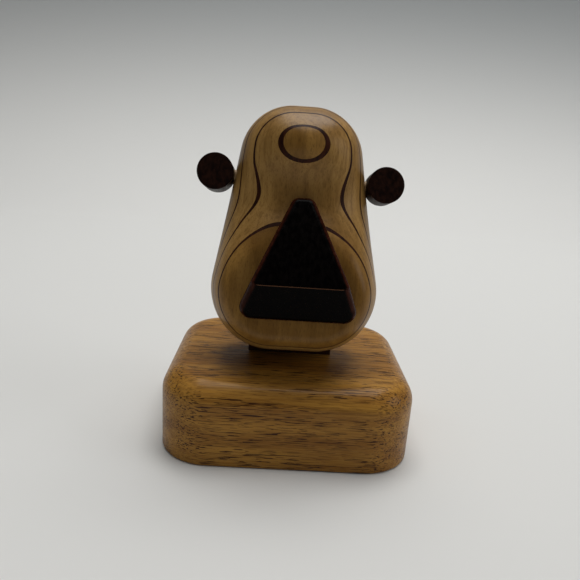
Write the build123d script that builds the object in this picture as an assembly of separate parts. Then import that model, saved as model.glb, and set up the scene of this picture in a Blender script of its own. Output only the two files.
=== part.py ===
"""Nose-shaped eyeglasses stand: a laminated wooden head on a neck block and a base.

World frame: millimetres, +X to the right, +Y away from the face, +Z up.  The origin is the
centre of the base's underside.  The head leans back, so its pieces are drawn in their own
frame: x across, y up the face, z out of the face, with z = 0 on the face.
"""

import os
from math import asin, cos, exp, hypot, pi, radians, sin, sqrt

from build123d import *

# Base block
BASE_WIDTH = 62.0
BASE_DEPTH = 52.0
BASE_HEIGHT = 20.5
BASE_CORNER = 12.4
BASE_TOP_ROUND = 5.7
BASE_ARRIS = 0.6

# Head: place and lean
LEAN = 12.5
CHIN_Y = -19.6
CHIN_Z = BASE_HEIGHT + 5.0

# Head: outline, the hull of two brow circles and two cheek circles
BROW_RADIUS = 13.4
BROW_CENTRE = (2.4, 48.8)
CHEEK_RADIUS = 16.0
CHEEK_CENTRE = (5.3, 16.0)
HEAD_LENGTH = BROW_CENTRE[1] + BROW_RADIUS

# Head: boards and veneers, counted from the face
FIRST_BOARD = 2.2
BOARD = 3.34
VENEER = 0.45
BOARD_COUNT = 6
PITCH = BOARD + VENEER
HEAD_DEPTH = FIRST_BOARD + (BOARD_COUNT - 1) * PITCH

# Head: carving of the face
EDGE_DEPTH = 17.4  # depth at which the rounded front meets the straight side
CHIN_ROUND = 5.4  # width of the rounding, measured in from the outline
CHEEK_ROUND = 6.4
BROW_ROUND = 9.4
BROW_SET_BACK = 1.05
BROW_MIDDLE = 50.5
BROW_DROP = 2.9  # how much deeper the foot of the brow's dome is than its top
BROW_DOME = (7.0, 6.0)  # half-width and half-length of the dome
BRIDGE_HEIGHT = 35.5  # the saddle that carries the glasses
BRIDGE_DEPTH = 3.2
BRIDGE_LENGTH = 7.2
BRIDGE_ROUND = 8.4
BRIDGE_BLEND = 7.0
BRIDGE_BLEND_HEIGHT = 38.0
BRIDGE_ROUND_HEIGHT = 33.0
BRIDGE_ROUND_LENGTH = 8.8
BACK_ROUND = 3.0
FACE_MIDDLE = 15.0
FACE_FLAT = 0.06  # depth of the flat left on the face
BROW_FLAT = 1.15  # depth of the flat left on the brow
CONTOUR_POINTS = 48
CONTOUR_STRIDE = 0.4
CONTOUR_HALVINGS = 20
LAYER_STEPS = 3
SADDLE_GAP = 0.15  # kept clear each side of the depth where the face and the brow join
SADDLE_STRIDE = 0.25
MOUND_ROOT = 0.8

# Nose block, let into a flat-bottomed pocket in the face
NOSE_OFFSET = 0.75
NOSE_BOTTOM = 9.4
NOSE_TOP = 38.0
NOSE_HALF_BOTTOM = 14.9
NOSE_HALF_TOP = 2.4
NOSE_POCKET = 5.2
NOSE_RIDGE_HEIGHT = 17.6
NOSE_RIDGE = 8.0
NOSE_ROUND = 1.7
NOSE_RIDGE_ROUND = 0.5
NOSE_LIP = 2.0
NOSE_TOP_LEVEL = -1.9
NOSE_CORNER = 2.8
NOSE_TOP_CORNER = 2.2
NOSE_OVERRUN = 1.0  # how far the side view runs past the outline it cuts
RIDGE_TOLERANCE = 0.1
FRONT_FACE_TILT = 0.2  # least forward share of a front face's normal
NOSE_UNDER_SLOPE = (NOSE_RIDGE - NOSE_LIP) / (NOSE_RIDGE_HEIGHT - NOSE_BOTTOM)
NOSE_UPPER_SLOPE = (NOSE_RIDGE - NOSE_TOP_LEVEL) / (NOSE_TOP - NOSE_RIDGE_HEIGHT)

# Eyes: dowels pegged to the sides of the head
EYE_RADIUS = 4.5
EYE_LENGTH = 8.0
EYE_BACK = 17.4
EYE_SPREAD = 21.2
EYE_HEIGHT = 43.5
EYE_STAGGER = 0.4
EYE_ARRIS = 0.3
PEG_RADIUS = 1.25
PEG_LENGTH = 9.0
PEG_DEPTH = 14.6

# Neck block
NECK_WIDTH = 21.6
NECK_FRONT = -3.3
NECK_BACK = 14.5
NECK_TOP = 43.5
NECK_TOP_ROUND = 6.0
TENON_WIDTH = 15.6
TENON_DEPTH = 10.0
TENON_LENGTH = 9.0
TENON_Y = (NECK_FRONT + NECK_BACK) / 2

# Wood screws
SCREW_RADIUS = 1.6
SCREW_HEAD_RADIUS = 3.2
SCREW_HEAD_HEIGHT = 1.9
SCREW_TIP = 3.0
SLOT_WIDTH = 0.8
SLOT_DEPTH = 0.8
SLOT_LENGTH = 7.0  # a little longer than the head is wide
BASE_SCREW_LENGTH = 22.0
BASE_SCREW_SPACING = 8.0
BASE_COUNTERBORE = 4.0
NECK_SCREW_LENGTH = 17.0
NECK_SCREW_HEIGHT = 14.0
NECK_SCREW_TIP_DEPTH = 11.0

HEAD_PLANE = Plane(
    origin=(0, CHIN_Y, CHIN_Z),
    x_dir=(1, 0, 0),
    z_dir=(0, -cos(radians(LEAN)), sin(radians(LEAN))),
)


def blend(x):
    """Smooth step from 0 to 1 as x goes from 0 to 1."""
    x = min(max(x, 0.0), 1.0)
    return x * x * (3 - 2 * x)


def bump(x):
    """Bell of height 1 and unit half-length."""
    return exp(-x * x)


def side_line():
    """The straight right side of the outline: its normal's angle, low end and high end."""
    across = CHEEK_CENTRE[0] - BROW_CENTRE[0]
    along = BROW_CENTRE[1] - CHEEK_CENTRE[1]
    span = hypot(across, along)
    angle = asin((CHEEK_RADIUS - BROW_RADIUS) / span) + asin(across / span)
    low = (CHEEK_CENTRE[0] + CHEEK_RADIUS * cos(angle), CHEEK_CENTRE[1] + CHEEK_RADIUS * sin(angle))
    high = (BROW_CENTRE[0] + BROW_RADIUS * cos(angle), BROW_CENTRE[1] + BROW_RADIUS * sin(angle))
    return angle, low, high


SIDE_ANGLE, SIDE_LOW, SIDE_HIGH = side_line()


def edge_distance(x, y):
    """Distance of a point from the head's outline, positive inside."""
    x = abs(x)
    side = (SIDE_LOW[0] - x) * cos(SIDE_ANGLE) + (SIDE_LOW[1] - y) * sin(SIDE_ANGLE)
    gap = min(y, HEAD_LENGTH - y, side)
    if x > CHEEK_CENTRE[0] and y < SIDE_LOW[1]:
        gap = min(gap, CHEEK_RADIUS - hypot(x - CHEEK_CENTRE[0], y - CHEEK_CENTRE[1]))
    if x > BROW_CENTRE[0] and y > SIDE_HIGH[1]:
        gap = min(gap, BROW_RADIUS - hypot(x - BROW_CENTRE[0], y - BROW_CENTRE[1]))
    return gap


def carved_depth(x, y):
    """Depth of the carved front below the face plane."""
    brow = blend((y - BRIDGE_BLEND_HEIGHT + BRIDGE_BLEND) / (2 * BRIDGE_BLEND))
    dome = bump(hypot(x / BROW_DOME[0], (y - BROW_MIDDLE) / BROW_DOME[1]))
    middle = (BROW_SET_BACK + BROW_DROP * (1 - dome)) * brow
    middle += BRIDGE_DEPTH * bump((y - BRIDGE_HEIGHT) / BRIDGE_LENGTH)
    rounding = CHIN_ROUND + (CHEEK_ROUND - CHIN_ROUND) * blend(y / CHEEK_CENTRE[1])
    rounding += (BROW_ROUND - CHEEK_ROUND) * brow
    rounding += BRIDGE_ROUND * bump((y - BRIDGE_ROUND_HEIGHT) / BRIDGE_ROUND_LENGTH)
    inset = min(max(edge_distance(x, y) / rounding, 0.0), 1.0)
    return EDGE_DEPTH - (EDGE_DEPTH - middle) * sqrt(1 - (1 - inset) ** 2)


def saddle_depth():
    """Depth at which the face and the brow join into one board, on the middle line."""
    steps = round((BROW_MIDDLE - FACE_MIDDLE) / SADDLE_STRIDE)
    return max(carved_depth(0, FACE_MIDDLE + step * SADDLE_STRIDE) for step in range(steps))


def is_inside(x, y, depth):
    """Whether the head is solid at a point of its frame."""
    past = max(depth - HEAD_DEPTH + BACK_ROUND, 0) / BACK_ROUND
    back_inset = BACK_ROUND * (1 - sqrt(max(1 - past**2, 0)))
    return edge_distance(x, y) > back_inset and carved_depth(x, y) < depth


def contour(depth, centre_y):
    """Closed outline of the head at one depth, around a point on its middle line."""
    points = []
    for step in range(CONTOUR_POINTS):
        angle = 2 * pi * step / CONTOUR_POINTS
        near, far = 0.0, CONTOUR_STRIDE
        while is_inside(far * cos(angle), centre_y + far * sin(angle), depth):
            near, far = far, far + CONTOUR_STRIDE
        for _ in range(CONTOUR_HALVINGS):
            middle = (near + far) / 2
            if is_inside(middle * cos(angle), centre_y + middle * sin(angle), depth):
                near = middle
            else:
                far = middle
        points.append((near * cos(angle), centre_y + near * sin(angle), -depth))
    return Wire([Edge.make_spline(points, periodic=True)])


def layer(top, bottom, centre_y):
    """Slice of the head between two depths, with its carved edge."""
    shares = [step / LAYER_STEPS for step in range(LAYER_STEPS + 1)]
    return Solid.make_loft([contour(top + share * (bottom - top), centre_y) for share in shares])


def mound(top, centre_y):
    """Part of the second board that stands up beside the saddle, rooted in the rest of it."""
    foot = saddle_depth() - SADDLE_GAP
    root = extrude(Face(contour(foot, centre_y)), MOUND_ROOT, dir=(0, 0, -1))
    return layer(top, foot, centre_y) + root


def whole_board(top, bottom):
    """Board that is one slice of the head."""
    return layer(top, bottom, HEAD_LENGTH / 2)


def second_board(top, bottom):
    """Board that the saddle is cut into: one slice with a mound on its face and brow side."""
    board = layer(saddle_depth() + SADDLE_GAP, bottom, HEAD_LENGTH / 2)
    return board + mound(top, FACE_MIDDLE) + mound(top, BROW_MIDDLE)


def nose_outline():
    """Outline of the nose block where it meets the face."""
    outline = Polygon(
        (NOSE_OFFSET - NOSE_HALF_BOTTOM, NOSE_BOTTOM),
        (NOSE_OFFSET + NOSE_HALF_BOTTOM, NOSE_BOTTOM),
        (NOSE_OFFSET + NOSE_HALF_TOP, NOSE_TOP),
        (NOSE_OFFSET - NOSE_HALF_TOP, NOSE_TOP),
        align=None,
    )
    corners = outline.vertices().sort_by(Axis.Y)
    outline = fillet(corners[:2], NOSE_CORNER)
    return fillet(outline.vertices().sort_by(Axis.Y)[-2:], NOSE_TOP_CORNER).face()


def nose_block():
    """Wedge nose with rounded edges, in the head's frame."""
    blank = Pos(0, 0, -NOSE_POCKET) * extrude(nose_outline(), 2 * (NOSE_POCKET + NOSE_RIDGE))
    bottom, top = NOSE_BOTTOM - NOSE_OVERRUN, NOSE_TOP + NOSE_OVERRUN
    side_view = Polygon(
        (bottom, -NOSE_POCKET),
        (bottom, NOSE_LIP - NOSE_OVERRUN * NOSE_UNDER_SLOPE),
        (NOSE_RIDGE_HEIGHT, NOSE_RIDGE),
        (top, NOSE_TOP_LEVEL - NOSE_OVERRUN * NOSE_UPPER_SLOPE),
        (top, -NOSE_POCKET),
        align=None,
    )
    nose = blank & extrude(Plane.YZ * side_view, 2 * NOSE_HALF_BOTTOM, both=True)
    fronts = [face for face in nose.faces() if ridge_face(face)]
    below = NOSE_RIDGE - RIDGE_TOLERANCE
    rims = [edge for face in fronts for edge in face.edges() if edge.center().Z < below]
    nose = fillet(rims, NOSE_ROUND)
    return fillet(nose.edges().sort_by(Axis.Z)[-1], NOSE_RIDGE_ROUND)


def ridge_face(face):
    """Whether a face of the nose reaches up to its ridge and faces forward."""
    reaches_ridge = face.bounding_box().max.Z > NOSE_RIDGE - RIDGE_TOLERANCE
    return reaches_ridge and abs(face.normal_at().Z) > FRONT_FACE_TILT


def eye_place(side):
    """Centre of an eye's back end, in the head's frame: side is -1 for left, 1 for right."""
    return side * EYE_SPREAD, EYE_HEIGHT - side * EYE_STAGGER, -EYE_BACK


def eye_dowel(side):
    """Round dowel lying front to back beside the head."""
    dowel = Pos(*eye_place(side)) * extrude(Circle(EYE_RADIUS), EYE_LENGTH)
    return fillet(dowel.edges(), EYE_ARRIS)


def eye_peg(side):
    """Hidden peg from the middle of an eye into the head."""
    x, y, _ = eye_place(side)
    start = Pos(x, y, -PEG_DEPTH) * Rot(0, -90 * side, 0)
    return start * extrude(Circle(PEG_RADIUS), PEG_LENGTH)


def wood_screw(length):
    """Slotted countersunk screw along +z: its head's top is at z = 0 and its tip at z = length."""
    profile = Polygon(
        (0, 0),
        (SCREW_HEAD_RADIUS, 0),
        (SCREW_RADIUS, SCREW_HEAD_HEIGHT),
        (SCREW_RADIUS, length - SCREW_TIP),
        (0, length),
        align=None,
    )
    return revolve(Plane.XZ * profile, Axis.Z)


def screw_slot():
    """Driver slot across a screw's head."""
    return Pos(0, 0, SLOT_DEPTH / 2) * Box(SLOT_LENGTH, SLOT_WIDTH, SLOT_DEPTH)


def screw_bore(depth):
    """Counterbore from a screw's head out to the surface."""
    return Pos(0, 0, -depth) * extrude(Circle(SCREW_HEAD_RADIUS), depth)


def base_screw_places():
    """Locations of the two screws that go up through the base into the neck's tenon."""
    return [Pos(side * BASE_SCREW_SPACING / 2, TENON_Y, BASE_COUNTERBORE) for side in (-1, 1)]


def neck_screw_place():
    """Location of the screw from the back of the neck into the head, in the world frame."""
    depth = NECK_SCREW_TIP_DEPTH + NECK_SCREW_LENGTH
    return HEAD_PLANE.location * Pos(0, NECK_SCREW_HEIGHT, -depth)


def base_block():
    """Rounded base with a mortise for the neck and two screw holes."""
    block = extrude(RectangleRounded(BASE_WIDTH, BASE_DEPTH, BASE_CORNER), BASE_HEIGHT)
    block = fillet(block.faces().sort_by(Axis.Z)[-1].edges(), BASE_TOP_ROUND)
    block = fillet(block.faces().sort_by(Axis.Z)[0].edges(), BASE_ARRIS)
    block -= tenon()
    for place in base_screw_places():
        block -= place * (wood_screw(BASE_SCREW_LENGTH) + screw_bore(BASE_COUNTERBORE))
    return block


def tenon():
    """Stub of the neck that is glued into the base."""
    return Pos(0, TENON_Y, BASE_HEIGHT - TENON_LENGTH / 2) * Box(TENON_WIDTH, TENON_DEPTH, TENON_LENGTH)


def neck_block(head_pieces):
    """Neck cut to the back and underside of the head, with a tenon for the base."""
    depth = NECK_BACK - NECK_FRONT
    height = NECK_TOP - BASE_HEIGHT
    block = Pos(0, TENON_Y, BASE_HEIGHT + height / 2) * Box(NECK_WIDTH, depth, height)
    block = fillet(block.edges().filter_by(Axis.X).group_by(Axis.Z)[-1].sort_by(Axis.Y)[-1], NECK_TOP_ROUND)
    for piece in head_pieces:
        block -= piece
    block = block.solids().sort_by(Axis.Y)[-1] + tenon()
    for place in base_screw_places():
        block -= place * wood_screw(BASE_SCREW_LENGTH)
    return block - neck_screw_place() * (wood_screw(NECK_SCREW_LENGTH) + screw_bore(NECK_BACK))


def head_layers():
    """Uncut boards and veneers of the head by name, from the face back, in the head's frame."""
    parts = {}
    depth = FIRST_BOARD
    parts["head_board_1_face"] = layer(FACE_FLAT, depth, FACE_MIDDLE)
    parts["head_board_1_brow"] = layer(BROW_FLAT, depth, BROW_MIDDLE)
    parts["head_veneer_1_face"] = layer(depth, depth + VENEER, FACE_MIDDLE)
    parts["head_veneer_1_brow"] = layer(depth, depth + VENEER, BROW_MIDDLE)
    for number in range(2, BOARD_COUNT + 1):
        depth += VENEER
        make_board = second_board if number == 2 else whole_board
        parts[f"head_board_{number}"] = make_board(depth, depth + BOARD)
        depth += BOARD
        if number < BOARD_COUNT:
            parts[f"head_veneer_{number}"] = layer(depth, depth + VENEER, HEAD_LENGTH / 2)
    return parts


def cut_for_fittings(piece):
    """A layer of the head with its nose pocket, eye seats, peg holes and screw hole."""
    tools = [Pos(0, 0, -NOSE_POCKET) * extrude(nose_outline(), 2 * NOSE_POCKET)]
    tools += [eye_dowel(side) for side in (-1, 1)]
    tools += [eye_peg(side) for side in (-1, 1)]
    tools.append(HEAD_PLANE.location.inverse() * (neck_screw_place() * wood_screw(NECK_SCREW_LENGTH)))
    for tool in tools:
        if piece & tool:
            piece = piece - tool
    return piece


def build():
    """Every sub-part by name, in the world frame."""
    place = HEAD_PLANE.location
    blanks = head_layers()
    parts = {name: place * cut_for_fittings(piece) for name, piece in blanks.items()}
    parts["nose_block"] = place * nose_block()
    for side, name in ((-1, "left_eye"), (1, "right_eye")):
        parts[name] = place * (eye_dowel(side) - eye_peg(side))
        parts[name + "_peg"] = place * eye_peg(side)
    parts["neck_block"] = neck_block([place * piece for piece in blanks.values()])
    parts["neck_screw"] = neck_screw_place() * (wood_screw(NECK_SCREW_LENGTH) - screw_slot())
    parts["base_block"] = base_block()
    screw = wood_screw(BASE_SCREW_LENGTH) - screw_slot()
    parts["base_screws"] = Compound([location * screw for location in base_screw_places()])
    return parts


if __name__ == "__main__":
    os.makedirs("parts", exist_ok=True)
    for name, piece in build().items():
        export_step(piece, f"parts/{name}.step")
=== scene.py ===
"""Looks of the nose-shaped eyeglasses stand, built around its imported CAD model.

Metres, in the CAD's frame.  The head is drawn in its own frame, in millimetres: x across,
y up the face and depth from the face plane back, which is minus the z of the CAD's head frame.
"""

from math import asin, cos, exp, hypot, pi, radians, sin, sqrt

import bmesh
import bpy
from mathutils import Matrix, Vector


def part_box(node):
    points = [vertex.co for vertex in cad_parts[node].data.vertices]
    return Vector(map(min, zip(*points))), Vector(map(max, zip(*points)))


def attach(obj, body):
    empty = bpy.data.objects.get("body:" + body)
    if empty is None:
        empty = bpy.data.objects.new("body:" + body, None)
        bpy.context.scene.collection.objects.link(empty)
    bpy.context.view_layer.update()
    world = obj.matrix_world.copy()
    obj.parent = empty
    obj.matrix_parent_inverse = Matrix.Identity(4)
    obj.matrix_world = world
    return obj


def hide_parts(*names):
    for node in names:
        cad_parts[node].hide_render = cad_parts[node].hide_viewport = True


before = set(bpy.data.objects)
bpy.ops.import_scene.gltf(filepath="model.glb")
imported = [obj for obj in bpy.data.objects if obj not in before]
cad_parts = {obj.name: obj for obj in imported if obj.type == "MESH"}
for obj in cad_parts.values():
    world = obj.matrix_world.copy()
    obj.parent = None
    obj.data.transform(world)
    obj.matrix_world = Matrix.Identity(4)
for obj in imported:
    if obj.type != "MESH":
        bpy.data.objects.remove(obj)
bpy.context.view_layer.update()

MM = 0.001
BASE_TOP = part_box("base_block")[1].z

# Head, as in the CAD model
LEAN = radians(12.5)
CHIN_Y = -19.6
CHIN_GAP = 5.0
BROW_RADIUS = 13.4
BROW_CENTRE = (2.4, 48.8)
CHEEK_RADIUS = 16.0
CHEEK_CENTRE = (5.3, 16.0)
HEAD_LENGTH = BROW_CENTRE[1] + BROW_RADIUS
FIRST_BOARD = 2.2
BOARD = 3.34
VENEER = 0.45
BOARD_COUNT = 6
HEAD_DEPTH = FIRST_BOARD + (BOARD_COUNT - 1) * (BOARD + VENEER)
EDGE_DEPTH = 17.4
CHIN_ROUND = 5.4
CHEEK_ROUND = 6.4
BROW_ROUND = 9.4
BROW_SET_BACK = 1.05
BROW_MIDDLE = 50.5
BROW_DROP = 2.9
BROW_DOME = (7.0, 6.0)
BRIDGE_HEIGHT = 35.5
BRIDGE_DEPTH = 3.2
BRIDGE_LENGTH = 7.2
BRIDGE_ROUND = 8.4
BRIDGE_BLEND = 7.0
BRIDGE_BLEND_HEIGHT = 38.0
BRIDGE_ROUND_HEIGHT = 33.0
BRIDGE_ROUND_LENGTH = 8.8
BACK_ROUND = 3.0

# Head mesh: spacing along the outline, rings over the carved front and round the back
OUTLINE_STEP = 0.55
OFFSET_REACH = 12.2
OFFSET_RINGS = 36
MIDDLE_RINGS = 8
BACK_RINGS = 8
SHARP_ANGLE = radians(40)
MERGE_DISTANCE = 0.01 * MM
SHORTEST_EDGE = 0.001 * MM
CUT_TOLERANCE = 1e-7
FLAT_TOLERANCE = 1e-6
ABOVE_FACE = -1  # depth in front of the whole face
OUT_OF_FACE = Vector((0, -cos(LEAN), sin(LEAN)))


def blend(x):
    """Smooth step from 0 to 1 as x goes from 0 to 1."""
    x = min(max(x, 0.0), 1.0)
    return x * x * (3 - 2 * x)


def bump(x):
    """Bell of height 1 and unit half-length."""
    return exp(-x * x)


def side_line():
    """The straight right side of the outline: its normal's angle, low end and high end."""
    across = CHEEK_CENTRE[0] - BROW_CENTRE[0]
    along = BROW_CENTRE[1] - CHEEK_CENTRE[1]
    span = hypot(across, along)
    angle = asin((CHEEK_RADIUS - BROW_RADIUS) / span) + asin(across / span)
    low = (CHEEK_CENTRE[0] + CHEEK_RADIUS * cos(angle), CHEEK_CENTRE[1] + CHEEK_RADIUS * sin(angle))
    high = (BROW_CENTRE[0] + BROW_RADIUS * cos(angle), BROW_CENTRE[1] + BROW_RADIUS * sin(angle))
    return angle, low, high


SIDE_ANGLE, SIDE_LOW, SIDE_HIGH = side_line()


def edge_distance(x, y):
    """Distance of a point from the head's outline, positive inside."""
    x = abs(x)
    side = (SIDE_LOW[0] - x) * cos(SIDE_ANGLE) + (SIDE_LOW[1] - y) * sin(SIDE_ANGLE)
    gap = min(y, HEAD_LENGTH - y, side)
    if x > CHEEK_CENTRE[0] and y < SIDE_LOW[1]:
        gap = min(gap, CHEEK_RADIUS - hypot(x - CHEEK_CENTRE[0], y - CHEEK_CENTRE[1]))
    if x > BROW_CENTRE[0] and y > SIDE_HIGH[1]:
        gap = min(gap, BROW_RADIUS - hypot(x - BROW_CENTRE[0], y - BROW_CENTRE[1]))
    return gap


def carved_depth(x, y):
    """Depth of the carved front below the face plane."""
    brow = blend((y - BRIDGE_BLEND_HEIGHT + BRIDGE_BLEND) / (2 * BRIDGE_BLEND))
    dome = bump(hypot(x / BROW_DOME[0], (y - BROW_MIDDLE) / BROW_DOME[1]))
    middle = (BROW_SET_BACK + BROW_DROP * (1 - dome)) * brow
    middle += BRIDGE_DEPTH * bump((y - BRIDGE_HEIGHT) / BRIDGE_LENGTH)
    rounding = CHIN_ROUND + (CHEEK_ROUND - CHIN_ROUND) * blend(y / CHEEK_CENTRE[1])
    rounding += (BROW_ROUND - CHEEK_ROUND) * brow
    rounding += BRIDGE_ROUND * bump((y - BRIDGE_ROUND_HEIGHT) / BRIDGE_ROUND_LENGTH)
    inset = min(max(edge_distance(x, y) / rounding, 0.0), 1.0)
    return EDGE_DEPTH - (EDGE_DEPTH - middle) * sqrt(1 - (1 - inset) ** 2)


def half_outline():
    """Right half of the head's outline from chin to crown: each point with its outward normal."""
    def straight(start, end, angle):
        steps = max(1, round(hypot(end[0] - start[0], end[1] - start[1]) / OUTLINE_STEP))
        for step in range(steps):
            share = step / steps
            yield Vector(start).lerp(Vector(end), share), Vector((cos(angle), sin(angle)))

    def arc(centre, radius, start, end):
        steps = round(radius * (end - start) / OUTLINE_STEP)
        for step in range(steps):
            angle = start + (end - start) * step / steps
            normal = Vector((cos(angle), sin(angle)))
            yield Vector(centre) + radius * normal, normal

    yield from straight((0, 0), (CHEEK_CENTRE[0], 0), -pi / 2)
    yield from arc(CHEEK_CENTRE, CHEEK_RADIUS, -pi / 2, SIDE_ANGLE)
    yield from straight(SIDE_LOW, SIDE_HIGH, SIDE_ANGLE)
    yield from arc(BROW_CENTRE, BROW_RADIUS, SIDE_ANGLE, pi / 2)
    yield from straight((BROW_CENTRE[0], HEAD_LENGTH), (0, HEAD_LENGTH), pi / 2)
    yield Vector((0, HEAD_LENGTH)), Vector((0, 1))


def outline():
    """Closed outline of the head: each point with its outward normal."""
    right = list(half_outline())
    left = [(Vector((-p.x, p.y)), Vector((-n.x, n.y))) for p, n in reversed(right[1:-1])]
    return right + left


def to_world(x, y, depth):
    """A point of the head's frame, in millimetres, as a place in the CAD's frame."""
    up = Vector((0, sin(LEAN), cos(LEAN)))
    back = Vector((0, cos(LEAN), -sin(LEAN)))
    chin = Vector((0, CHIN_Y, CHIN_GAP)) * MM + Vector((0, 0, BASE_TOP))
    return chin + (Vector((x, 0, 0)) + y * up + depth * back) * MM


def head_rings():
    """Rings of points over the whole head, from the middle of the face round to its back."""
    edge = outline()
    rings = []
    for ring in range(MIDDLE_RINGS):
        share = ring / MIDDLE_RINGS
        points = []
        for point, normal in edge:
            spot = point - OFFSET_REACH * normal
            spine = Vector((0, min(max(spot.y, CHEEK_CENTRE[1]), BROW_CENTRE[1])))
            spot = spine.lerp(spot, share)
            points.append((spot.x, spot.y, carved_depth(*spot)))
        rings.append(points)
    for ring in range(OFFSET_RINGS + 1):
        offset = OFFSET_REACH * (1 - ring / OFFSET_RINGS) ** 2
        spots = [point - offset * normal for point, normal in edge]
        rings.append([(spot.x, spot.y, carved_depth(*spot)) for spot in spots])
    for ring in range(BACK_RINGS + 1):
        turn = pi / 2 * ring / BACK_RINGS
        offset = BACK_ROUND * (1 - cos(turn))
        depth = HEAD_DEPTH - BACK_ROUND * (1 - sin(turn))
        rings.append([(*(point - offset * normal), depth) for point, normal in edge])
    return rings


def whole_head():
    """The uncut head as one closed bmesh."""
    mesh = bmesh.new()
    rings = [[mesh.verts.new(to_world(*point)) for point in ring] for ring in head_rings()]
    for inner, outer in zip(rings, rings[1:]):
        for step, (a, b) in enumerate(zip(inner, outer)):
            following = (step + 1) % len(inner)
            mesh.faces.new((a, b, outer[following], inner[following]))
    mesh.faces.new(rings[-1])
    bmesh.ops.remove_doubles(mesh, verts=mesh.verts, dist=MERGE_DISTANCE)
    bmesh.ops.dissolve_degenerate(mesh, edges=mesh.edges, dist=SHORTEST_EDGE)
    bmesh.ops.recalc_face_normals(mesh, faces=mesh.faces)
    return mesh


def keep_layer(mesh, top, bottom):
    """Cuts a head mesh down to what lies between two depths, and closes it."""
    for depth, normal in ((top, OUT_OF_FACE), (bottom, -OUT_OF_FACE)):
        everything = list(mesh.verts) + list(mesh.edges) + list(mesh.faces)
        cut = bmesh.ops.bisect_plane(
            mesh,
            geom=everything,
            dist=CUT_TOLERANCE,
            plane_co=to_world(0, 0, depth),
            plane_no=normal,
            clear_outer=True,
        )
        rim = [item for item in cut["geom_cut"] if isinstance(item, bmesh.types.BMEdge)]
        if rim:
            bmesh.ops.edgeloop_fill(mesh, edges=rim)


def keep_side(mesh, above):
    """Keeps the part of a layer above or below the saddle."""
    height = to_world(0, BRIDGE_HEIGHT, 0).z
    gone = [v for v in mesh.verts if (v.co.z > height) != above]
    bmesh.ops.delete(mesh, geom=gone, context="VERTS")


def cut_out(piece, cutters):
    """Takes the seats of other pieces out of one piece."""
    for node in cutters:
        cutter = piece.modifiers.new(node, "BOOLEAN")
        cutter.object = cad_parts[node]
        cutter.solver = "EXACT"
    bpy.context.view_layer.update()
    evaluated = piece.evaluated_get(bpy.context.evaluated_depsgraph_get())
    result = bpy.data.meshes.new_from_object(evaluated)
    piece.modifiers.clear()
    piece.data = result


def shade_layer(piece):
    """Smooth shading with a crisp edge where the layer's flat faces and seats begin."""
    mesh = bmesh.new()
    mesh.from_mesh(piece.data)
    mesh.normal_update()
    for face in mesh.faces:
        face.smooth = True
    for edge in mesh.edges:
        flat = [1 - abs(face.normal.dot(OUT_OF_FACE)) < FLAT_TOLERANCE for face in edge.link_faces]
        turn = edge.calc_face_angle(0)
        edge.smooth = turn < SHARP_ANGLE and len(set(flat)) < 2
    mesh.to_mesh(piece.data)
    mesh.free()


def head_layer(node, top, bottom, part=None):
    """Detailed piece for one board or veneer of the head."""
    mesh = head.copy()
    keep_layer(mesh, top, bottom)
    if part:
        keep_side(mesh, part == "brow")
    data = bpy.data.meshes.new(node + "_carved")
    mesh.to_mesh(data)
    mesh.free()
    piece = bpy.data.objects.new(node + "_carved", data)
    bpy.context.scene.collection.objects.link(piece)
    cut_out(piece, ["nose_block", "left_eye", "right_eye"])
    shade_layer(piece)
    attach(piece, "root")
    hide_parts(node)
    return piece


def head_layers():
    """Boards and veneers of the head, from the face back."""
    bottom = FIRST_BOARD
    for part in ("face", "brow"):
        board = head_layer(f"head_board_1_{part}", ABOVE_FACE, bottom, part)
        dress(board, maple(1))
        veneer = head_layer(f"head_veneer_1_{part}", bottom, bottom + VENEER, part)
        dress(veneer, VENEER_WOOD)
    for number in range(2, BOARD_COUNT + 1):
        top = bottom + VENEER
        bottom = top + BOARD
        dress(head_layer(f"head_board_{number}", top, bottom), maple(number))
        if number < BOARD_COUNT:
            veneer = head_layer(f"head_veneer_{number}", bottom, bottom + VENEER)
            dress(veneer, VENEER_WOOD)


def dress(piece, material):
    """Gives a new piece its material."""
    piece.data.materials.clear()
    piece.data.materials.append(material)


# Materials

BOARD_PAINTED_LIGHT = 5  # painted light: how much lighter each board is than the one in front of it, in sRGB steps
FACE_BOARD_PAINTED_SHADE = 12  # painted shade: how much darker the first board, which makes the face, is, in sRGB steps
SPREAD = (0.3, 0.7)  # the range in which most of a noise lies
FRONT_FACE_TILT = 0.2  # least forward share of the normal of a nose face


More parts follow.
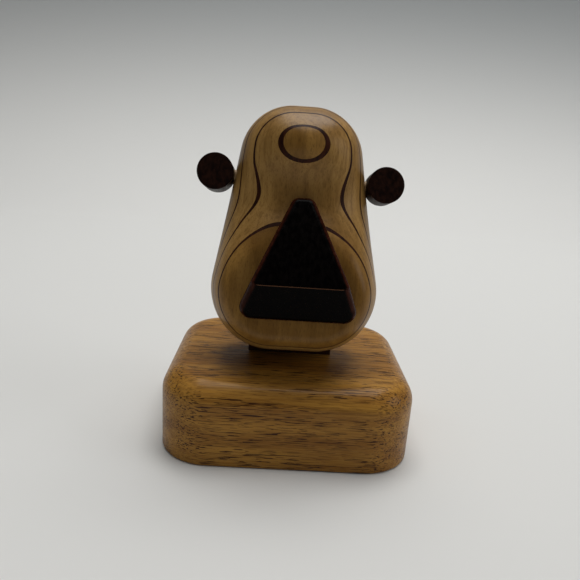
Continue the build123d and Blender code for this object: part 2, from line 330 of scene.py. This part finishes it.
class Shade:
    """Node tree of one material, around a Principled shader."""

    def __init__(self, name, **sockets):
        self.material = bpy.data.materials.new(name)
        self.material.use_nodes = True
        self.tree = self.material.node_tree
        self.shader = self.tree.nodes["Principled BSDF"]
        for socket, value in sockets.items():
            self.shader.inputs[socket.replace("_", " ")].default_value = value

    def add(self, kind, values=(), **settings):
        """New node with settings; values gives its inputs, a number or another node's output."""
        node = self.tree.nodes.new("ShaderNode" + kind)
        for name, value in settings.items():
            setattr(node, name, value)
        for socket, value in dict(values).items():
            if isinstance(value, bpy.types.NodeSocket):
                self.tree.links.new(value, node.inputs[socket])
            else:
                node.inputs[socket].default_value = value
        return node

    def to_shader(self, socket, output):
        """Links an output to a socket of the shader."""
        self.tree.links.new(output, self.shader.inputs[socket])

    def noise(self, sizes, seed=0.0, lean=0.0, detail=3.0, roughness=0.55, distortion=0.0):
        """Noise whose features have the given sizes in millimetres along the grain's axes."""
        place = self.add("TexCoord").outputs["Object"]
        values = {"Vector": place, "Rotation": (lean, 0, 0), "Location": (seed, seed, seed)}
        turned = self.add("Mapping", values)
        scale = [1 / (size * MM) for size in sizes]
        sized = self.add("Mapping", {"Vector": turned.outputs[0], "Scale": scale})
        values = {"Vector": sized.outputs[0], "Scale": 1.0, "Detail": detail, "Roughness": roughness}
        values["Distortion"] = distortion
        return self.add("TexNoise", values).outputs["Fac"]

    def band(self, value, low, high, start=0.0, end=1.0):
        """Smooth step of a value, from start at low to end at high."""
        values = {"Value": value, "From Min": low, "From Max": high, "To Min": start, "To Max": end}
        return self.add("MapRange", values, interpolation_type="SMOOTHSTEP").outputs["Result"]

    def mix(self, share, first, second):
        """Colour between two colours."""
        node = self.add("Mix", data_type="RGBA")
        for socket, value in ((node.inputs[0], share), (node.inputs[6], first), (node.inputs[7], second)):
            if isinstance(value, bpy.types.NodeSocket):
                self.tree.links.new(value, socket)
            else:
                socket.default_value = value
        return node.outputs[2]

    def multiply(self, first, second):
        """Product of two numbers."""
        return self.add("Math", {0: first, 1: second}, operation="MULTIPLY").outputs[0]

    def larger(self, first, second):
        """The larger of two numbers."""
        return self.add("Math", {0: first, 1: second}, operation="MAXIMUM").outputs[0]

    def raise_by(self, height, depth, before=None):
        """Bump of the given depth in millimetres, on top of another bump."""
        values = {"Height": height, "Distance": depth * MM, "Strength": 1.0}
        if before:
            values["Normal"] = before
        return self.add("Bump", values).outputs["Normal"]


def tone(red, green, blue):
    """Colour from sRGB values of 0 to 255."""
    def linear(value):
        value /= 255
        return value / 12.92 if value <= 0.04045 else ((value + 0.055) / 1.055) ** 2.4

    return (linear(red), linear(green), linear(blue), 1.0)


def base_wood():
    """Brown open-pored hardwood with its grain along X, oiled to a satin gloss."""
    shade = Shade("base_wood", Specular_IOR_Level=0.12, Coat_Weight=0.1, Coat_Roughness=0.12)
    figure = shade.noise((60, 9, 5), seed=0.31, detail=4, distortion=0.6)
    streaks = shade.noise((16, 1.1, 0.7), seed=0.12, detail=4)
    fibres = shade.noise((5, 0.28, 0.22), seed=0.45, detail=2)
    colour = shade.mix(shade.band(figure, *SPREAD), tone(142, 95, 35), tone(182, 132, 56))
    colour = shade.mix(shade.band(streaks, 0.4, 0.75, 0, 0.5), colour, tone(108, 64, 22))
    colour = shade.mix(shade.band(fibres, 0.4, 0.75, 0, 0.35), colour, tone(196, 146, 72))
    pores = shade.noise((5.2, 0.3, 0.27), seed=0.77, detail=2, roughness=0.5, distortion=0.5)
    crowding = shade.noise((30, 5, 4), seed=0.9, detail=2)
    pores = shade.multiply(shade.band(pores, 0.555, 0.585), shade.band(crowding, 0.34, 0.56, 0.35, 1))
    colour = shade.mix(shade.multiply(pores, 0.92), colour, tone(42, 13, 3))
    shade.to_shader("Base Color", colour)
    shade.to_shader("Roughness", shade.band(streaks, *SPREAD, 0.3, 0.42))
    worn = shade.raise_by(shade.noise((7, 7, 7), seed=0.2, detail=3), 0.12)
    grain = shade.raise_by(fibres, 0.02, worn)
    hollow = shade.multiply(pores, -1.0)
    shade.to_shader("Normal", shade.raise_by(hollow, 0.03, grain))
    return shade.material


def neck_wood():
    """Dark reddish-brown hardwood, oiled, with its grain upright."""
    shade = Shade("neck_wood", Specular_IOR_Level=0.25)
    streaks = shade.noise((1.2, 1.6, 22), seed=0.5, detail=4)
    pores = shade.noise((0.3, 0.34, 3), seed=0.15, detail=1.5)
    colour = shade.mix(shade.band(streaks, *SPREAD), tone(38, 17, 10), tone(64, 31, 18))
    pores = shade.band(pores, 0.6, 0.7)
    colour = shade.mix(shade.multiply(pores, 0.7), colour, tone(24, 11, 7))
    shade.to_shader("Base Color", colour)
    shade.to_shader("Roughness", shade.band(streaks, *SPREAD, 0.36, 0.5))
    shade.to_shader("Normal", shade.raise_by(shade.multiply(pores, -1.0), 0.06))
    return shade.material


def maple(number):
    """Light close-grained wood of one board of the head, with its grain up the face, and painted light
    and shade by board.
    """
    seed = 0.137 * number
    shade = Shade(f"maple_{number}", Specular_IOR_Level=0.16, Coat_Weight=0.04, Coat_Roughness=0.2)
    cloud = shade.noise((9, 6, 26), seed=seed, lean=LEAN, detail=3, distortion=0.4)
    streaks = shade.noise((0.9, 0.7, 18), seed=seed + 0.03, lean=LEAN, detail=4)
    flecks = shade.noise((0.22, 0.22, 1.3), seed=seed + 0.07, lean=LEAN, detail=2)
    # painted light and shade: boards further back are lighter, the face board darker
    light = BOARD_PAINTED_LIGHT * number - (FACE_BOARD_PAINTED_SHADE if number == 1 else 0)
    dark = tone(126 + light, 90 + light, 40 + light)
    pale = tone(162 + light, 122 + light, 62 + light)
    colour = shade.mix(shade.band(cloud, *SPREAD), dark, pale)
    colour = shade.mix(shade.band(streaks, 0.42, 0.72, 0, 0.45), colour, tone(98, 66, 24))
    colour = shade.mix(shade.band(flecks, 0.5, 0.72, 0, 0.42), colour, tone(76, 48, 16))
    shade.to_shader("Base Color", colour)
    shade.to_shader("Roughness", shade.band(cloud, *SPREAD, 0.33, 0.45))
    shade.to_shader("Normal", shade.raise_by(flecks, 0.012, shade.raise_by(streaks, 0.02)))
    return shade.material


def veneer_wood():
    """Thin dark veneer."""
    shade = Shade("dark_veneer", Specular_IOR_Level=0.1, Roughness=0.42)
    streaks = shade.noise((0.6, 0.6, 7), seed=0.4, lean=LEAN, detail=3)
    colour = shade.mix(shade.band(streaks, *SPREAD), tone(32, 11, 4), tone(58, 25, 9))
    shade.to_shader("Base Color", colour)
    shade.to_shader("Normal", shade.raise_by(streaks, 0.02))
    return shade.material


def nose_wood():
    """Polished near-black wood, reddish brown on its rounded edges, with a painted highlight along the
    ridge.
    """
    shade = Shade("nose_wood", Specular_IOR_Level=0.03)
    streaks = shade.noise((0.8, 0.8, 14), seed=0.6, lean=LEAN, detail=4)
    pores = shade.noise((0.2, 0.2, 1.8), seed=0.35, lean=LEAN, detail=1.5)
    colour = shade.mix(shade.band(streaks, 0.35, 0.7), tone(2, 1, 1), tone(7, 4, 3))
    rubbed = shade.mix(shade.band(streaks, *SPREAD), tone(36, 14, 8), tone(60, 26, 15))
    upper, under = nose_faces()
    ridge = facing(shade, (upper + under).normalized())
    front = shade.larger(shade.larger(facing(shade, upper), facing(shade, under)), ridge)
    rounding = shade.multiply(shade.band(front, 0.8, 0.985, 1, 0), shade.band(front, 0.0, 0.5, 0.15, 1))
    colour = shade.mix(rounding, colour, rubbed)
    # painted highlight: a pale line along the nose's ridge
    colour = shade.mix(shade.band(ridge, 0.97, 0.995, 0, 0.6), colour, tone(120, 84, 62))
    shade.to_shader("Base Color", colour)
    shade.to_shader("Roughness", shade.band(streaks, *SPREAD, 0.18, 0.3))
    shade.to_shader("Normal", shade.raise_by(shade.multiply(shade.band(pores, 0.6, 0.7), -1.0), 0.004))
    return shade.material


def facing(shade, direction):
    """How nearly the surface faces a direction: the cosine of the angle between them."""
    normal = shade.add("NewGeometry").outputs["Normal"]
    return shade.add("VectorMath", {0: normal, 1: direction}, operation="DOT_PRODUCT").outputs["Value"]


def nose_faces():
    """Outward normals of the nose's two broad front faces."""
    areas = {}
    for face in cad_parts["nose_block"].data.polygons:
        if face.normal.y < -FRONT_FACE_TILT:
            key = tuple(round(value, 2) for value in face.normal)
            areas[key] = areas.get(key, 0) + face.area
    return [Vector(key).normalized() for key in sorted(areas, key=areas.get)[-2:]]


def eye_wood():
    """Polished dark dowel with rings of end grain."""
    shade = Shade("eye_wood", Specular_IOR_Level=0.05)
    rings = shade.noise((1.1, 12, 1.4), seed=0.22, lean=LEAN, detail=4, distortion=0.5)
    pores = shade.noise((0.25, 3, 0.25), seed=0.52, lean=LEAN, detail=1.5)
    colour = shade.mix(shade.band(rings, *SPREAD), tone(20, 11, 9), tone(44, 24, 17))
    colour = shade.mix(shade.band(pores, 0.6, 0.7, 0, 0.7), colour, tone(8, 5, 4))
    shade.to_shader("Base Color", colour)
    shade.to_shader("Roughness", shade.band(rings, *SPREAD, 0.34, 0.5))
    shade.to_shader("Normal", shade.raise_by(pores, 0.015))
    return shade.material


def peg_wood():
    """Plain birch dowel."""
    shade = Shade("peg_wood", Roughness=0.6)
    fibres = shade.noise((9, 0.4, 0.4), seed=0.1, detail=3)
    shade.to_shader("Base Color", shade.mix(fibres, tone(150, 118, 78), tone(190, 160, 118)))
    shade.to_shader("Normal", shade.raise_by(fibres, 0.02))
    return shade.material


def screw_steel():
    """Plain steel with fine turning marks."""
    shade = Shade("screw_steel", Metallic=1.0, Roughness=0.35)
    marks = shade.noise((0.5, 0.5, 0.12), seed=0.3, detail=3)
    shade.to_shader("Base Color", shade.mix(marks, tone(150, 150, 152), tone(196, 196, 198)))
    shade.to_shader("Roughness", shade.band(marks, *SPREAD, 0.25, 0.45))
    shade.to_shader("Normal", shade.raise_by(marks, 0.01))
    return shade.material


# Stage

FLOOR_SIDE = 1.6
FLOOR_FRONT = -0.9
SWEEP_START = 0.30
SWEEP_RADIUS = 0.25
SWEEP_TOP = 1.3
SWEEP_STEPS = 24
PAINTED_SHADE_HEIGHT = 0.3  # height over which painted shade darkens the backdrop
WINDOW_PLACE = (0.06, 0.22, 0.9)
WINDOW_SIZE = 0.75
WINDOW_WATTS = 7.8
WINDOW_COLOUR = (1.0, 0.99, 0.97)
SIDE_PLACE = (0.9, -0.2, 0.45)
SIDE_SIZE = 0.5
SIDE_WATTS = 1.4
ROOM_COLOUR = (0.95, 0.98, 1.0, 1.0)
ROOM_STRENGTH = 0.1


def sweep():
    """Pale floor that curves up into a backdrop, with painted shade darkening the backdrop towards its
    top.
    """
    profile = [(FLOOR_FRONT, 0.0)]
    for step in range(SWEEP_STEPS + 1):
        turn = pi / 2 * step / SWEEP_STEPS
        profile.append((SWEEP_START + SWEEP_RADIUS * sin(turn), SWEEP_RADIUS * (1 - cos(turn))))
    profile.append((SWEEP_START + SWEEP_RADIUS, SWEEP_TOP))
    mesh = bmesh.new()
    rows = [[mesh.verts.new((side * FLOOR_SIDE, y, z)) for side in (-1, 1)] for y, z in profile]
    for near, far in zip(rows, rows[1:]):
        mesh.faces.new((near[0], near[1], far[1], far[0])).smooth = True
    data = bpy.data.meshes.new("floor")
    mesh.to_mesh(data)
    mesh.free()
    floor = bpy.data.objects.new("floor", data)
    bpy.context.scene.collection.objects.link(floor)
    shade = Shade("floor_paper_painted_shade", Roughness=0.85)
    height = shade.add("SeparateXYZ", {0: shade.add("TexCoord").outputs["Object"]}).outputs["Z"]
    # painted shade: the paper darkens with height up the backdrop
    paper = shade.mix(shade.band(height, 0.0, PAINTED_SHADE_HEIGHT), tone(224, 224, 222), tone(140, 144, 146))
    shade.to_shader("Base Color", paper)
    data.materials.append(shade.material)


def soft_light(name, place, size, watts, colour=(1, 1, 1)):
    """Square area light that looks at the head's middle."""
    data = bpy.data.lights.new(name, "AREA")
    data.size = size
    data.energy = watts
    data.color = colour
    light = bpy.data.objects.new(name, data)
    light.location = place
    target = Vector((0, 0, BASE_TOP * 2))
    light.rotation_euler = (target - light.location).to_track_quat("-Z", "Y").to_euler()
    bpy.context.scene.collection.objects.link(light)


def lights():
    """Broad light from above and a little behind, and a weak one from the right."""
    soft_light("window_light", WINDOW_PLACE, WINDOW_SIZE, WINDOW_WATTS, WINDOW_COLOUR)
    soft_light("side_light", SIDE_PLACE, SIDE_SIZE, SIDE_WATTS)
    world = bpy.data.worlds.new("room")
    world.use_nodes = True
    background = world.node_tree.nodes["Background"]
    background.inputs["Color"].default_value = ROOM_COLOUR
    background.inputs["Strength"].default_value = ROOM_STRENGTH
    bpy.context.scene.world = world


# Camera

CAMERA_PLACE = Vector((-4.64, -138.12, 77.69)) * MM
CAMERA_PITCH = radians(16.49)
CAMERA_YAW = radians(1.58)
CAMERA_ROLL = radians(3.92)
CAMERA_FOCUS = 0.9462  # focal length over the picture's width


def camera():
    """Camera in front of the face, level with its brow and looking down at it."""
    level_ahead = Vector((sin(CAMERA_YAW), cos(CAMERA_YAW), 0))
    ahead = level_ahead * cos(CAMERA_PITCH) - Vector((0, 0, sin(CAMERA_PITCH)))
    level = Vector((cos(CAMERA_YAW), -sin(CAMERA_YAW), 0))
    down = ahead.cross(level)
    right = level * cos(CAMERA_ROLL) - down * sin(CAMERA_ROLL)
    down = level * sin(CAMERA_ROLL) + down * cos(CAMERA_ROLL)
    data = bpy.data.cameras.new("camera")
    data.lens = CAMERA_FOCUS * data.sensor_width
    data.clip_start = 0.01
    view = bpy.data.objects.new("camera", data)
    axes = Matrix((right, -down, -ahead)).transposed()
    view.matrix_world = Matrix.Translation(CAMERA_PLACE) @ axes.to_4x4()
    bpy.context.scene.collection.objects.link(view)
    bpy.context.scene.camera = view


camera()
lights()
sweep()
VENEER_WOOD = veneer_wood()
head = whole_head()
head_layers()
head.free()

NODE_WOODS = {
    "base_block": base_wood(),
    "neck_block": neck_wood(),
    "nose_block": nose_wood(),
    "left_eye": eye_wood(),
    "left_eye_peg": peg_wood(),
    "neck_screw": screw_steel(),
}
NODE_WOODS["right_eye"] = NODE_WOODS["left_eye"]
NODE_WOODS["right_eye_peg"] = NODE_WOODS["left_eye_peg"]
NODE_WOODS["base_screws"] = NODE_WOODS["neck_screw"]
for node, material in NODE_WOODS.items():
    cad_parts[node].material_slots[0].material = material

bpy.context.scene.view_settings.view_transform = "Standard"
